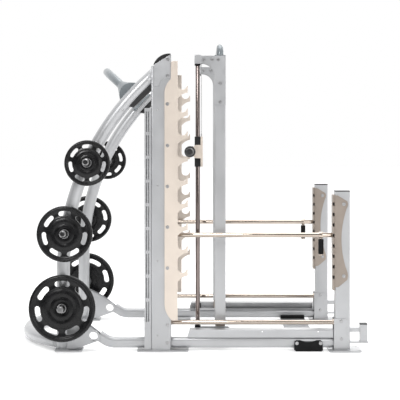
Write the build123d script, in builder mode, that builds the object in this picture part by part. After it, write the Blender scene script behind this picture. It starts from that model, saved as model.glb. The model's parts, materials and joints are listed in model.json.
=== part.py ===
from build123d import *
from math import cos, radians, sin
import os

os.makedirs("parts", exist_ok=True)

# A smith machine whose guided bar also rolls forwards and backwards.
# Millimetres. +X points to the open front, +Z up, the floor is Z = 0 and the machine is
# symmetric about Y = 0. "Left" is the -Y side. Each left piece is drawn on a plane that
# faces outwards, Plane.XZ.offset(distance from Y = 0), and then mirrored.

# side frames
SIDE_Y = 610.0              # centre plane of each side frame
FOOT_T = 10.0               # thickness of the foot plates
COLUMN_X = (-255.0, -120.0)
COLUMN_DEPTH = 110.0
COLUMN_WALL = 4.0
COLUMN_TOP = 1935.0
COVER_X = -300.0            # rear face of the slotted cover behind each column
COVER_Z = (12.0, 1650.0)
BASE_W, BASE_H, BASE_Z = 50.0, 73.0, 53.5   # flat-sided floor tubes
TUBE_WALL = 3.0

# curved plate-storage tubes
STORE_R, STORE_WALL = 44.5, 4.0
STORE_X = -857.0
STORE_STRAIGHT_TOP = 530.0
STORE_BEND_R = 1780.0
STORE_BEND = 53.0           # degrees of bend

# toothed rack plates
RACK_T = 12.0
RACK_BACK, RACK_EDGE, RACK_TIP = -164.0, -74.5, -6.0
NOTCH_TOP, NOTCH_PITCH, NOTCHES = 1775.0, 155.0, 9
SEAT_X = -41.0              # bar centre when it lies in a notch

# front posts and safety rods
POST_X = (995.0, 1096.0)
POST_DEPTH = 76.0
POST_TOP = 1083.0
LEVEL_TOP, LEVEL_PITCH, LEVELS = 998.0, 71.0, 8
SAFETY_Z = LEVEL_TOP - 3 * LEVEL_PITCH
SAFETY_R = 16.0
STOP_Z, STOP_R = 189.0, 15.0

# rolling shuttle, at rest with the bar just clear of the rack teeth
SHUTTLE_Y = 500.0
SHUTTLE_POST = (76.2, 50.8, 3.0)   # along X, along Y, wall
SHUTTLE_X = 215.6
SHUTTLE_Z = (175.0, 2017.0)
ROD_X, ROD_R = 60.0, 15.0
HEAD_BLOCK_X = (38.0, 82.0)
HEAD_BLOCK_Z = (1962.0, 2024.0)
CHANNEL_X = (-8.0, 982.0)
CHANNEL_Y = (560.0, 640.0)
CHANNEL_Z = (90.0, 144.0)
CHANNEL_WALL = 4.0
WHEEL_R, WHEEL_AXLE_R = 22.7, 6.0
WHEEL_X = (112.0, 242.0)
WHEEL_Z = (CHANNEL_Z[0] + CHANNEL_Z[1]) / 2
SHELF_Z = (100.0, 112.0)

# counterbalance
PULLEY_Z, PULLEY_PITCH_R, PULLEY_R = 1990.0, 17.5, 20.0
FRONT_PULLEY_X, REAR_PULLEY_X = 104.0, 203.0
CABLE_R = 1.6
WEIGHT_Z = (667.0, 1253.0)

# bar and carriages
BAR_X, BAR_Z, BAR_R = 9.0, 1354.0, 14.3
SLEEVE_R, COLLAR_R = 25.0, 38.0
SLEEVE_Y = (680.0, 698.0, 1075.0)  # collar inner face, collar outer face, end
CARRIAGE_H = 104.0                 # above and below the bar

# weight plates: centre X and Z, radius, thickness
WEIGHT_PLATES = {
    "large": (-851.0, 301.0, 225.0, 50.0),
    "medium": (-834.0, 801.0, 188.5, 45.0),
    "small": (-682.0, 1278.0, 154.5, 40.0),
}
PLATE_Y = 717.0             # middle of each plate
HORN_TILT = 4.0             # degrees upwards
HORN_R, NOSE_R = 24.5, 24.0
NOSE_LENGTH = 75.0
PLATE_BORE_R = 25.2

RUNNING = 0.05              # radial clearance of a shaft that turns or slides


def outward(distance):
    """The plane at this distance on the left side, facing outwards."""
    return Plane.XZ.offset(distance)


def block(x, y, z, mode=Mode.ADD):
    """A left-side block; y is given as distances from the middle plane."""
    with BuildSketch(outward(y[0])) as outline:
        with Locations(((x[0] + x[1]) / 2, (z[0] + z[1]) / 2)):
            Rectangle(x[1] - x[0], z[1] - z[0])
    extrude(outline.sketch, amount=y[1] - y[0], mode=mode)


def rods(points, y, radius, mode=Mode.ADD, taper=0.0):
    """Round rods, or bores, across the left side at (x, z) points."""
    with BuildSketch(outward(y[0])) as circles:
        with Locations(*points):
            Circle(radius)
    extrude(circles.sketch, amount=y[1] - y[0], taper=taper, mode=mode)


def other_side(left):
    """The same piece on the right side."""
    with BuildPart() as right:
        mirror(left.part, about=Plane.XZ)
    return right


def both_sides():
    """Adds the right-hand twin to the part being built."""
    mirror(about=Plane.XZ)


pieces = {}

# --- columns -------------------------------------------------------------------------
levels = [LEVEL_TOP - LEVEL_PITCH * n for n in range(LEVELS)]
column_mid = sum(COLUMN_X) / 2
column_w = COLUMN_X[1] - COLUMN_X[0]
column_y = (SIDE_Y - COLUMN_DEPTH / 2, SIDE_Y + COLUMN_DEPTH / 2)

with BuildPart() as column_left:
    with BuildSketch(Plane.XY.offset(FOOT_T)):
        with Locations((column_mid, -SIDE_Y)):
            RectangleRounded(column_w, COLUMN_DEPTH, 9)
            RectangleRounded(column_w - 2 * COLUMN_WALL, COLUMN_DEPTH - 2 * COLUMN_WALL, 5,
                             mode=Mode.SUBTRACT)
    extrude(amount=COLUMN_TOP - FOOT_T)
    with BuildSketch(Plane.YZ.offset(COLUMN_X[1] - 10)):
        with Locations(*[(-SIDE_Y, z) for z in levels]):
            Circle(SAFETY_R + 0.5)
    extrude(amount=20, mode=Mode.SUBTRACT)
pieces["column_left"] = column_left
pieces["column_right"] = other_side(column_left)

SLOT_PITCH, SLOT_LENGTH, SLOT_W, SLOT_ROWS = 161.0, 141.0, 6.0, 9
with BuildPart() as column_covers:
    block((COVER_X, COLUMN_X[0]), column_y, COVER_Z)
    block((COVER_X + TUBE_WALL, COLUMN_X[0]), (column_y[0] + TUBE_WALL, column_y[1] - TUBE_WALL),
          (COVER_Z[0] - 1, COVER_Z[1] - TUBE_WALL), mode=Mode.SUBTRACT)
    with BuildSketch(outward(column_y[0] - 1)):
        for row in range(SLOT_ROWS):
            z = 270 + row * SLOT_PITCH
            with Locations((COVER_X + 14, z), (COVER_X + 29, z)):
                SlotOverall(SLOT_LENGTH, SLOT_W, rotation=90)
    extrude(amount=COLUMN_DEPTH + 2, mode=Mode.SUBTRACT)
    block((COVER_X - 1, COVER_X + 5), (SIDE_Y - BASE_W / 2 - 1, SIDE_Y + BASE_W / 2 + 1),
          (COVER_Z[0] - 1, BASE_Z + BASE_H / 2 + 1), mode=Mode.SUBTRACT)
    both_sides()
pieces["column_covers"] = column_covers

HEAD_T = 6.0
with BuildPart() as column_heads:
    with BuildSketch(outward(column_y[1])) as head_outline:
        with BuildLine():
            Polyline((-235, 1797), (-204, 1797), (-195, 1820))
            ThreePointArc((-195, 1820), (-186, 1840), (-168, 1848))
            Polyline((-168, 1848), (-123, 1853), (-123, 2011), (-138, 2004), (-235, 1944), (-235, 1797))
        make_face()
    extrude(amount=HEAD_T)
    with BuildSketch(outward(column_y[0] - HEAD_T)):
        add(head_outline.sketch_local)
    extrude(amount=HEAD_T)
    both_sides()
pieces["column_heads"] = column_heads

# --- rack plates ---------------------------------------------------------------------
notches = [NOTCH_TOP - NOTCH_PITCH * n for n in range(NOTCHES)]
rack_y = (column_y[1], column_y[1] + RACK_T)

with BuildPart() as rack_plate_left:
    with BuildSketch(outward(rack_y[0])):
        with BuildLine():
            pen = (RACK_EDGE, 1968)
            for seat in notches:
                wall_low, lip, tip_low = (RACK_EDGE, seat + 30), (-13, seat + 22), (RACK_TIP, seat - 20)
                Line(pen, wall_low)
                ThreePointArc(wall_low, (SEAT_X, seat), lip)
                ThreePointArc(lip, (-9, seat + 26), (RACK_TIP, seat + 22))
                Line((RACK_TIP, seat + 22), tip_low)
                ThreePointArc(tip_low, (-46, seat - 35), (RACK_EDGE, seat - 61))
                pen = (RACK_EDGE, seat - 61)
            Polyline(pen, (RACK_EDGE, 213), (-112, 213))
            ThreePointArc((-112, 213), (-150, 262), (RACK_BACK, 323))
            Line((RACK_BACK, 323), (RACK_BACK, 1758))
            ThreePointArc((RACK_BACK, 1758), (-151, 1806), (-120, 1845))
            Polyline((-120, 1845), (-120, 1960), (-112, 1968), (RACK_EDGE, 1968))
        make_face()
    extrude(amount=RACK_T)
pieces["rack_plate_left"] = rack_plate_left
pieces["rack_plate_right"] = other_side(rack_plate_left)

# --- storage tubes, their arch, saddles and horns ------------------------------------
with BuildLine(outward(SIDE_Y)) as store_path:
    upright = Line((STORE_X, FOOT_T), (STORE_X, STORE_STRAIGHT_TOP))
    JernArc(start=upright @ 1, tangent=upright % 1, radius=STORE_BEND_R, arc_size=-STORE_BEND)

store_foot = Plane((STORE_X, -SIDE_Y, FOOT_T))
with BuildPart() as store_envelope:
    with BuildSketch(store_foot):
        Circle(STORE_R)
    sweep(path=store_path.line)

with BuildPart() as storage_tube_left:
    with BuildSketch(store_foot):
        Circle(STORE_R)
        Circle(STORE_R - STORE_WALL, mode=Mode.SUBTRACT)
    sweep(path=store_path.line)
    block((COLUMN_X[0], 0), (SIDE_Y - 100, SIDE_Y + 100), (1000, 2300), mode=Mode.SUBTRACT)
pieces["storage_tube_left"] = storage_tube_left
pieces["storage_tube_right"] = other_side(storage_tube_left)


def on_store(angle, offset=0.0):
    """(x, z) beside the bent storage tube; offset is towards the column below it."""
    r = STORE_BEND_R - offset
    a = radians(angle)
    return STORE_X + STORE_BEND_R - r * cos(a), STORE_STRAIGHT_TOP + r * sin(a)


with BuildPart() as tube_saddles:
    with BuildSketch(outward(SIDE_Y - 30)):
        with BuildLine():
            ThreePointArc(on_store(40.3, 30), on_store(44.4, 30), on_store(48.4, 30))
            Line(on_store(48.4, 30), on_store(48.4, 64))
            ThreePointArc(on_store(48.4, 64), on_store(44.6, 69), on_store(40.9, 62))
            Line(on_store(40.9, 62), on_store(40.3, 30))
        make_face()
    extrude(amount=60)
    add(store_envelope.part, mode=Mode.SUBTRACT)
    block((COLUMN_X[0], 0), (SIDE_Y - 100, SIDE_Y + 100), (1000, 2300), mode=Mode.SUBTRACT)
    both_sides()
pieces["tube_saddles"] = tube_saddles

ARCH_R, ARCH_RISE, FLARE_R = 28.5, 302.0, 100.0
arch_foot_x, arch_foot_z = on_store(42.7)
arch_plane = Plane(origin=(arch_foot_x, 0, arch_foot_z), x_dir=(0, 1, 0), z_dir=(0.67, 0, 0.745))
arch_up = Plane(origin=(arch_foot_x, 0, arch_foot_z), x_dir=(0, 1, 0), z_dir=arch_plane.y_dir)
with BuildPart() as rear_top_arch:
    with BuildLine(arch_plane) as arch_path:
        bow = ThreePointArc((-590, 0), (0, ARCH_RISE), (590, 0))
    bow_start = Plane(origin=bow @ 0, z_dir=bow % 0)
    with BuildSketch(bow_start):
        Circle(ARCH_R)
        Circle(ARCH_R - TUBE_WALL, mode=Mode.SUBTRACT)
    sweep(path=arch_path.line)
    with BuildSketch(Plane(origin=bow @ 0.0, z_dir=bow % 0.02)):
        Circle(FLARE_R)
    with BuildSketch(Plane(origin=bow @ 0.11, z_dir=bow % 0.09)):
        Circle(ARCH_R + 2)
    loft()
    with BuildSketch(Plane(origin=bow @ 1.0, z_dir=-(bow % 0.98))):
        Circle(FLARE_R)
    with BuildSketch(Plane(origin=bow @ 0.89, z_dir=-(bow % 0.91))):
        Circle(ARCH_R + 2)
    loft()
    split(bisect_by=arch_up, keep=Keep.TOP)
    add(store_envelope.part, mode=Mode.SUBTRACT)
    mirror(store_envelope.part, about=Plane.XZ, mode=Mode.SUBTRACT)
    split(bisect_by=Plane.XZ.offset(SIDE_Y - 10), keep=Keep.BOTTOM)
    split(bisect_by=Plane.XZ.offset(-SIDE_Y + 10), keep=Keep.TOP)
pieces["rear_top_arch"] = rear_top_arch

horn_out = (0, -cos(radians(HORN_TILT)), sin(radians(HORN_TILT)))
PLATE_GAP = 4.0
with BuildPart() as storage_horns:
    for x, z, radius, thickness in WEIGHT_PLATES.values():
        middle = Plane(origin=(x, -PLATE_Y, z), x_dir=(1, 0, 0), z_dir=horn_out)
        with BuildSketch(middle.offset(SIDE_Y - PLATE_Y)):
            Circle(HORN_R)
        extrude(amount=PLATE_Y - SIDE_Y + thickness / 2 + PLATE_GAP)
        with BuildSketch(middle.offset(thickness / 2 + PLATE_GAP)):
            Circle(NOSE_R)
        extrude(amount=NOSE_LENGTH)
        with BuildSketch(middle.offset(thickness / 2 + PLATE_GAP + NOSE_LENGTH)):
            Circle(NOSE_R)
        extrude(amount=10, taper=40)
        with BuildSketch(middle.offset(-thickness / 2 - PLATE_GAP)):
            Circle(42)
        extrude(amount=-8)
    add(store_envelope.part, mode=Mode.SUBTRACT)
    both_sides()
pieces["storage_horns"] = storage_horns

# --- floor-level frame ----------------------------------------------------------------
REAR_FOOT_X, COLUMN_FOOT_X, FRONT_FOOT_X = (-910.0, -723.0), (-350.0, -2.0), (950.0, 1169.0)
feet = (
    (REAR_FOOT_X, 150.0, (157.0, 120.0)),
    (COLUMN_FOOT_X, 150.0, (318.0, 116.0)),
    (FRONT_FOOT_X, 186.0, (183.0, 150.0)),
)
ANCHOR_R = 7.0
with BuildPart() as foot_plates:
    with BuildSketch(Plane.XY):
        for (x0, x1), depth, spacing in feet:
            with Locations(((x0 + x1) / 2, -SIDE_Y)):
                RectangleRounded(x1 - x0, depth, 24)
                with GridLocations(spacing[0], spacing[1], 2, 2):
                    Circle(ANCHOR_R, mode=Mode.SUBTRACT)
    extrude(amount=FOOT_T)
    both_sides()
pieces["foot_plates"] = foot_plates

BRACKET_T = 8.0
bracket_faces = (SIDE_Y - BASE_W / 2 - BRACKET_T, SIDE_Y + BASE_W / 2)
with BuildPart() as rear_brackets:
    for face in bracket_faces:
        with BuildSketch(outward(face)):
            with BuildLine():
                ThreePointArc((-857, 262), (-720, 196), (-613, 120))
                ThreePointArc((-613, 120), (-601, 92), (-616, 68))
                Polyline((-616, 68), (-770, 14), (-857, 14), (-857, 262))
            make_face()
            with Locations((-650, 97)):
                Circle(31, mode=Mode.SUBTRACT)
        extrude(amount=BRACKET_T)
    with BuildSketch(outward(bracket_faces[0])):
        with Locations((-650, 97)):
            Circle(37)
            Circle(31, mode=Mode.SUBTRACT)
    extrude(amount=BASE_W + 2 * BRACKET_T)
    add(store_envelope.part, mode=Mode.SUBTRACT)
    both_sides()
pieces["rear_brackets"] = rear_brackets

with BuildPart() as rear_base_tubes:
    with BuildLine(outward(SIDE_Y)) as rear_path:
        FilletPolyline((COLUMN_X[0], BASE_Z), (-542, BASE_Z), (-612, 100), radius=130)
    with BuildSketch(Plane(origin=(COLUMN_X[0], -SIDE_Y, BASE_Z), x_dir=(0, 1, 0), z_dir=(-1, 0, 0))):
        RectangleRounded(BASE_W, BASE_H, 24)
        RectangleRounded(BASE_W - 2 * TUBE_WALL, BASE_H - 2 * TUBE_WALL, 21, mode=Mode.SUBTRACT)
    sweep(path=rear_path.line)
    rods([(-650, 97)], (SIDE_Y - 60, SIDE_Y + 60), 37, mode=Mode.SUBTRACT)
    both_sides()
pieces["rear_base_tubes"] = rear_base_tubes

BOW_R, BOW_Z, BOW_APEX = 44.5, 54.5, -1177.5
with BuildLine(Plane.XY.offset(BOW_Z)) as bow_path:
    floor_bow = ThreePointArc((-858, -598), (BOW_APEX, 0), (-858, 598))
bow_section = Plane(origin=floor_bow @ 0, z_dir=floor_bow % 0)
with BuildPart() as bow_end_caps:
    with BuildSketch(bow_section):
        Circle(BOW_R)
    sweep(path=bow_path.line)
    with BuildSketch(Plane.XY):
        with Locations((-858, -594), (-858, 594)):
            Rectangle(400, 8)
    extrude(amount=200, mode=Mode.INTERSECT)

with BuildPart() as rear_floor_bow:
    with BuildSketch(bow_section):
        Circle(BOW_R)
        Circle(BOW_R - STORE_WALL, mode=Mode.SUBTRACT)
    sweep(path=bow_path.line)
    add(bow_end_caps.part)
    add(store_envelope.part, mode=Mode.SUBTRACT)
    mirror(store_envelope.part, about=Plane.XZ, mode=Mode.SUBTRACT)
    with BuildSketch(Plane.XY):
        with Locations((-857, -SIDE_Y), (-857, SIDE_Y)):
            Circle(STORE_R)
    extrude(amount=200, mode=Mode.SUBTRACT)
    split(bisect_by=Plane.XZ.offset(SIDE_Y - 12), keep=Keep.BOTTOM)
    split(bisect_by=Plane.XZ.offset(-SIDE_Y + 12), keep=Keep.TOP)
pieces["rear_floor_bow"] = rear_floor_bow

with BuildPart() as front_base_tubes:
    with BuildSketch(Plane.YZ.offset(COLUMN_X[1])):
        with Locations((-SIDE_Y, BASE_Z), (SIDE_Y, BASE_Z)):
            RectangleRounded(BASE_W, BASE_H, 24)
            RectangleRounded(BASE_W - 2 * TUBE_WALL, BASE_H - 2 * TUBE_WALL, 21, mode=Mode.SUBTRACT)
    extrude(amount=POST_X[0] - COLUMN_X[1])
pieces["front_base_tubes"] = front_base_tubes

with BuildPart() as slide_channels:
    block(CHANNEL_X, CHANNEL_Y, CHANNEL_Z)
    block((CHANNEL_X[0] - 1, CHANNEL_X[1] + 1), (CHANNEL_Y[0] - 1, CHANNEL_Y[1] - CHANNEL_WALL),
          (CHANNEL_Z[0] + CHANNEL_WALL, CHANNEL_Z[1] - CHANNEL_WALL), mode=Mode.SUBTRACT)
    with BuildSketch(outward(CHANNEL_Y[0] - 1)):
        with BuildLine():
            Polyline((CHANNEL_X[0] - 1, CHANNEL_Z[0] + 8), (CHANNEL_X[0] + 14, CHANNEL_Z[1] + 1),
                     (CHANNEL_X[0] - 1, CHANNEL_Z[1] + 1), close=True)
        make_face()
    extrude(amount=100, mode=Mode.SUBTRACT)
    rods([(500, 130), (880, 130)], (CHANNEL_Y[1] - 6, CHANNEL_Y[1] + 1), 4, mode=Mode.SUBTRACT)
    both_sides()
pieces["slide_channels"] = slide_channels

with BuildPart() as lower_stop_rods:
    with BuildSketch(Plane.YZ.offset(COLUMN_X[1])):
        with Locations((-SIDE_Y, STOP_Z), (SIDE_Y, STOP_Z)):
            Circle(STOP_R)
    extrude(amount=POST_X[0] - COLUMN_X[1])
    with BuildSketch(Plane.YZ.offset(POST_X[0])):
        with Locations((-SIDE_Y, STOP_Z), (SIDE_Y, STOP_Z)):
            Circle(STOP_R + 6)
    extrude(amount=-14)
pieces["lower_stop_rods"] = lower_stop_rods

CROSS_X, CROSS_Z = (718.0, 909.0), (4.0, 16.0)
with BuildPart() as floor_cross_plate:
    with BuildSketch(Plane.XY.offset(CROSS_Z[0])):
        with Locations((sum(CROSS_X) / 2, 0)):
            Rectangle(CROSS_X[1] - CROSS_X[0], 2 * (SIDE_Y + BASE_W / 2))
    extrude(amount=CROSS_Z[1] - CROSS_Z[0])
pieces["floor_cross_plate"] = floor_cross_plate

PAD_X, PAD_T = (716.0, 911.0), 28.0
with BuildPart() as rubber_end_pads:
    with BuildSketch(outward(SIDE_Y + BASE_W / 2)):
        with BuildLine():
            Polyline((PAD_X[0], 10), (PAD_X[0] + 10, 0), (PAD_X[1] - 10, 0), (PAD_X[1], 10),
                     (PAD_X[1] - 4, 64), (PAD_X[1] - 16, 73), (PAD_X[1] - 42, 73))
            ThreePointArc((PAD_X[1] - 42, 73), (sum(PAD_X) / 2, 61), (PAD_X[0] + 42, 73))
            Polyline((PAD_X[0] + 42, 73), (PAD_X[0] + 16, 73), (PAD_X[0] + 4, 64), (PAD_X[0], 10))
        make_face()
    extrude(amount=PAD_T)
    block((PAD_X[0] + 4, PAD_X[1] - 4), (SIDE_Y - BASE_W / 2 - 30, SIDE_Y - BASE_W / 2), (CROSS_Z[1], 41))
    both_sides()
pieces["rubber_end_pads"] = rubber_end_pads

# --- front posts ----------------------------------------------------------------------
post_y = (SIDE_Y - POST_DEPTH / 2, SIDE_Y + POST_DEPTH / 2)
with BuildPart() as front_post_left:
    with BuildSketch(Plane.XY.offset(FOOT_T)):
        with Locations((sum(POST_X) / 2, -SIDE_Y)):
            RectangleRounded(POST_X[1] - POST_X[0], POST_DEPTH, 8)
            RectangleRounded(POST_X[1] - POST_X[0] - 8, POST_DEPTH - 8, 4, mode=Mode.SUBTRACT)
    extrude(amount=POST_TOP - FOOT_T)
pieces["front_post_left"] = front_post_left
pieces["front_post_right"] = other_side(front_post_left)

STRIP_X = 979.0
WING_T = 5.0
STRIP_Z = (412.0, 1062.0)
with BuildPart() as slot_plate_left:
    block((STRIP_X, POST_X[0]), post_y, STRIP_Z)
    with BuildSketch(Plane.YZ.offset(STRIP_X - 1)):
        with Locations(*[(-SIDE_Y, z) for z in levels]):
            Circle(15)
    extrude(amount=POST_X[0] - STRIP_X + 2, mode=Mode.SUBTRACT)
    for z in levels:
        block((STRIP_X - 1, STRIP_X + 11), (post_y[1] - 12, post_y[1] + 1), (z - 12, z + 12),
              mode=Mode.SUBTRACT)
        block((STRIP_X - 1, STRIP_X + 11), (post_y[0] - 1, post_y[0] + 12), (z - 12, z + 12),
              mode=Mode.SUBTRACT)
    for face in (post_y[0] - WING_T, post_y[1]):
        with BuildSketch(outward(face)):
            with BuildLine():
                Polyline((STRIP_X + 14, 432), (STRIP_X + 14, 1058), (1010, 1058), (1076, 1018))
                ThreePointArc((1076, 1018), (1081, 1000), (1074, 972))
                ThreePointArc((1074, 972), (1037, 750), (1074, 545))
                ThreePointArc((1074, 545), (1081, 515), (1076, 484))
                Polyline((1076, 484), (1018, 436), (STRIP_X + 14, 432))
            make_face()
        extrude(amount=WING_T)
pieces["slot_plate_left"] = slot_plate_left
pieces["slot_plate_right"] = other_side(slot_plate_left)

with BuildPart() as corner_plates:
    for face in (post_y[0] - WING_T, post_y[1]):
        with BuildSketch(outward(face)):
            with BuildLine():
                Polyline((986, FOOT_T), (986, 222), (1060, 222))
                ThreePointArc((1060, 222), (1081, 200), (1068, 165))
                ThreePointArc((1068, 165), (1060, 140), (1072, 115))
                ThreePointArc((1072, 115), (1086, 85), (1076, 55))
                Polyline((1076, 55), (1076, FOOT_T), (986, FOOT_T))
            make_face()
        extrude(amount=WING_T)
    both_sides()
pieces["corner_plates"] = corner_plates

STUB_X, STUB_Z = (1166.0, 1216.0), (62.0, 178.0)
with BuildPart() as anchor_stubs:
    block((POST_X[1], STUB_X[0]), (SIDE_Y - 18, SIDE_Y + 18), (126, 154))
    block(STUB_X, (SIDE_Y - 25, SIDE_Y + 25), STUB_Z)
    block((STUB_X[0] + 4, STUB_X[1] - 4), (SIDE_Y - 21, SIDE_Y + 21), (STUB_Z[0] + 4, STUB_Z[1] + 1),
          mode=Mode.SUBTRACT)
    block((POST_X[1], 1222), (SIDE_Y - 30, SIDE_Y + 30), (52, 62))
    both_sides()
pieces["anchor_stubs"] = anchor_stubs

with BuildPart() as tube_caps:
    with BuildSketch(outward(column_y[0] - HEAD_T)):
        with BuildLine():
            ThreePointArc((-239, 1943), (-193, 2002), (-123, 2019))
            Polyline((-123, 2019), (-123, 2012), (-138, 2005), (-239, 1943))
        make_face()
    extrude(amount=COLUMN_DEPTH + 2 * HEAD_T)
    with BuildSketch(Plane.XY.offset(POST_TOP)):
        with Locations((sum(POST_X) / 2, -SIDE_Y)):
            RectangleRounded(POST_X[1] - POST_X[0] + 2, POST_DEPTH + 2, 9)
    extrude(amount=6)
    with BuildSketch(Plane.XY.offset(STUB_Z[1])):
        with Locations((sum(STUB_X) / 2, -SIDE_Y)):
            RectangleRounded(52, 52, 4)
    extrude(amount=6)
    both_sides()
pieces["tube_caps"] = tube_caps

# --- bolts of the frame ---------------------------------------------------------------
BOLT_R, BOLT_H, SCREW_R, SCREW_H = 12.0, 7.0, 6.5, 3.0
with BuildPart() as frame_bolts:
    for sides in ((column_y[1], 1), (column_y[0], -1)):
        face, way = sides
        screws = [(-211, z) for z in (1637, 1122, 614, 112)]
        rods(screws, (face, face + way * SCREW_H), SCREW_R, taper=15)
        rods([(-144, 180), (-144, 60)], (face, face + way * BOLT_H), BOLT_R, taper=15)
    rack_bolts = [(-144, z) for z in (1677, 1396, 1119, 844, 567)]
    rods(rack_bolts, (rack_y[1], rack_y[1] + BOLT_H), BOLT_R, taper=15)
    for face, way in ((column_y[1] + HEAD_T, 1), (column_y[0] - HEAD_T, -1)):
        rods([(-142, 1979), (-142, 1868)], (face, face + way * BOLT_H), BOLT_R, taper=15)
    for face, way in ((post_y[1] + WING_T, 1), (post_y[0] - WING_T, -1)):
        post_bolts = [(1053, 998), (1053, 510), (1036, 204), (1036, 84)]
        rods(post_bolts, (face, face + way * BOLT_H), BOLT_R, taper=15)
    pad_face = SIDE_Y + BASE_W / 2 + PAD_T
    rods([(733, 56), (894, 56)], (pad_face, pad_face + BOLT_H), BOLT_R, taper=15)
    rods([on_store(47.3, 9), on_store(38.9, 22)], (SIDE_Y + 30, SIDE_Y + STORE_R + SCREW_H), SCREW_R)
    add(store_envelope.part, mode=Mode.SUBTRACT)
    both_sides()
pieces["frame_bolts"] = frame_bolts

# --- shuttle --------------------------------------------------------------------------
sx, sy, sw = SHUTTLE_POST
shuttle_x = (SHUTTLE_X - sx / 2, SHUTTLE_X + sx / 2)
shuttle_y = (SHUTTLE_Y - sy / 2, SHUTTLE_Y + sy / 2)
with BuildPart() as shuttle_post_left:
    with BuildSketch(Plane.XY.offset(SHUTTLE_Z[0])):
        with Locations((SHUTTLE_X, -SHUTTLE_Y)):
            RectangleRounded(sx, sy, 6)
            RectangleRounded(sx - 2 * sw, sy - 2 * sw, 3, mode=Mode.SUBTRACT)
    extrude(amount=SHUTTLE_Z[1] - SHUTTLE_Z[0])
    block((shuttle_x[0] - 1, shuttle_x[0] + sw + 1), (SHUTTLE_Y - 8, SHUTTLE_Y + 8),
          (1998, SHUTTLE_Z[1] + 1), mode=Mode.SUBTRACT)
    rods([(REAR_PULLEY_X, PULLEY_Z)], (shuttle_y[0] - 1, shuttle_y[1] + 1), 4.2, mode=Mode.SUBTRACT)
pieces["shuttle_post_left"] = shuttle_post_left
pieces["shuttle_post_right"] = other_side(shuttle_post_left)

GUSSET_T = 6.0
gusset_faces = (shuttle_y[0] - GUSSET_T, shuttle_y[1])
with BuildPart() as gusset_plates:
    for face in gusset_faces:
        with BuildSketch(outward(face)):
            with BuildLine():
                Polyline((HEAD_BLOCK_X[1], 1964), (HEAD_BLOCK_X[1], 2017), (shuttle_x[1], 2017),
                         (shuttle_x[1], 1677), (shuttle_x[0], 1677), (shuttle_x[0], 1878))
                ThreePointArc((shuttle_x[0], 1878), (shuttle_x[0] - 26, 1938), (92, 1964))
                Line((92, 1964), (HEAD_BLOCK_X[1], 1964))
            make_face()
        extrude(amount=GUSSET_T)
    rods([(FRONT_PULLEY_X, PULLEY_Z), (REAR_PULLEY_X, PULLEY_Z)],
         (gusset_faces[0] - 1, gusset_faces[1] + GUSSET_T + 1), 4.2, mode=Mode.SUBTRACT)
    both_sides()
pieces["gusset_plates"] = gusset_plates

with BuildPart() as rod_head_blocks:
    block(HEAD_BLOCK_X, (SHUTTLE_Y - 33, SHUTTLE_Y + 33), HEAD_BLOCK_Z)
    fillet(rod_head_blocks.edges().filter_by(Axis.Z), 4)
    with BuildSketch(Plane.XY.offset(HEAD_BLOCK_Z[0] - 1)):
        with Locations((ROD_X, -SHUTTLE_Y)):
            Circle(ROD_R + 0.1)
    extrude(amount=34, mode=Mode.SUBTRACT)
    both_sides()
pieces["rod_head_blocks"] = rod_head_blocks

with BuildPart() as guide_rods:
    with BuildSketch(Plane.XY.offset(SHELF_Z[1])):
        with Locations((ROD_X, -SHUTTLE_Y), (ROD_X, SHUTTLE_Y)):
            Circle(ROD_R)
    extrude(amount=HEAD_BLOCK_Z[0] + 32 - SHELF_Z[1])
pieces["guide_rods"] = guide_rods

with BuildPart() as rod_bumpers:
    for z0, z1 in ((SHELF_Z[1], 151.0), (1950.0, HEAD_BLOCK_Z[0])):
        with BuildSketch(Plane.XY.offset(z0)):
            with Locations((ROD_X, -SHUTTLE_Y), (ROD_X, SHUTTLE_Y)):
                Circle(ROD_R + 6)
                Circle(ROD_R + 0.1, mode=Mode.SUBTRACT)
        extrude(amount=z1 - z0)
pieces["rod_bumpers"] = rod_bumpers

HOOP_R, HOOP_BEND, HOOP_TOP = 23.5, 55.0, 2103.0
hoop_z = HOOP_TOP - HOOP_R
with BuildPart() as shuttle_arch:
    with BuildLine(Plane.YZ.offset(SHUTTLE_X)) as hoop_path:
        FilletPolyline((-SHUTTLE_Y, SHUTTLE_Z[1] + 4), (-SHUTTLE_Y, hoop_z), (SHUTTLE_Y, hoop_z),
                       (SHUTTLE_Y, SHUTTLE_Z[1] + 4), radius=HOOP_BEND)
    with BuildSketch(Plane.XY.offset(SHUTTLE_Z[1] + 4)):
        with Locations((SHUTTLE_X, -SHUTTLE_Y)):
            Circle(HOOP_R)
            Circle(HOOP_R - TUBE_WALL, mode=Mode.SUBTRACT)
    sweep(path=hoop_path.line)
    with BuildSketch(Plane.XY.offset(SHUTTLE_Z[1])):
        with Locations((SHUTTLE_X, -SHUTTLE_Y), (SHUTTLE_X, SHUTTLE_Y)):
            RectangleRounded(sx, sy, 6)
    extrude(amount=5)
pieces["shuttle_arch"] = shuttle_arch

TROLLEY_X, TROLLEY_Y, TROLLEY_TOP = (75.0, 279.0), (538.0, 550.0), 150.0
with BuildPart() as trolleys:
    block((HEAD_BLOCK_X[0], TROLLEY_X[1]), (SHUTTLE_Y - 30, TROLLEY_Y[0]), SHELF_Z)
    block(TROLLEY_X, TROLLEY_Y, (SHELF_Z[0] - 2, TROLLEY_TOP))
    rods([(x, WHEEL_Z) for x in WHEEL_X], (TROLLEY_Y[0] - 1, TROLLEY_Y[1] + 1), WHEEL_AXLE_R + 0.1,
         mode=Mode.SUBTRACT)
    fillet(trolleys.edges().filter_by(Axis.Y).group_by(Axis.Z)[-1], 14)
    both_sides()
pieces["trolleys"] = trolleys

with BuildPart() as post_feet:
    block((shuttle_x[0] + 5, shuttle_x[1] - 5), (shuttle_y[0] + 5, shuttle_y[1] - 5),
          (SHELF_Z[1], SHUTTLE_Z[0]))
    both_sides()
pieces["post_feet"] = post_feet

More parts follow.
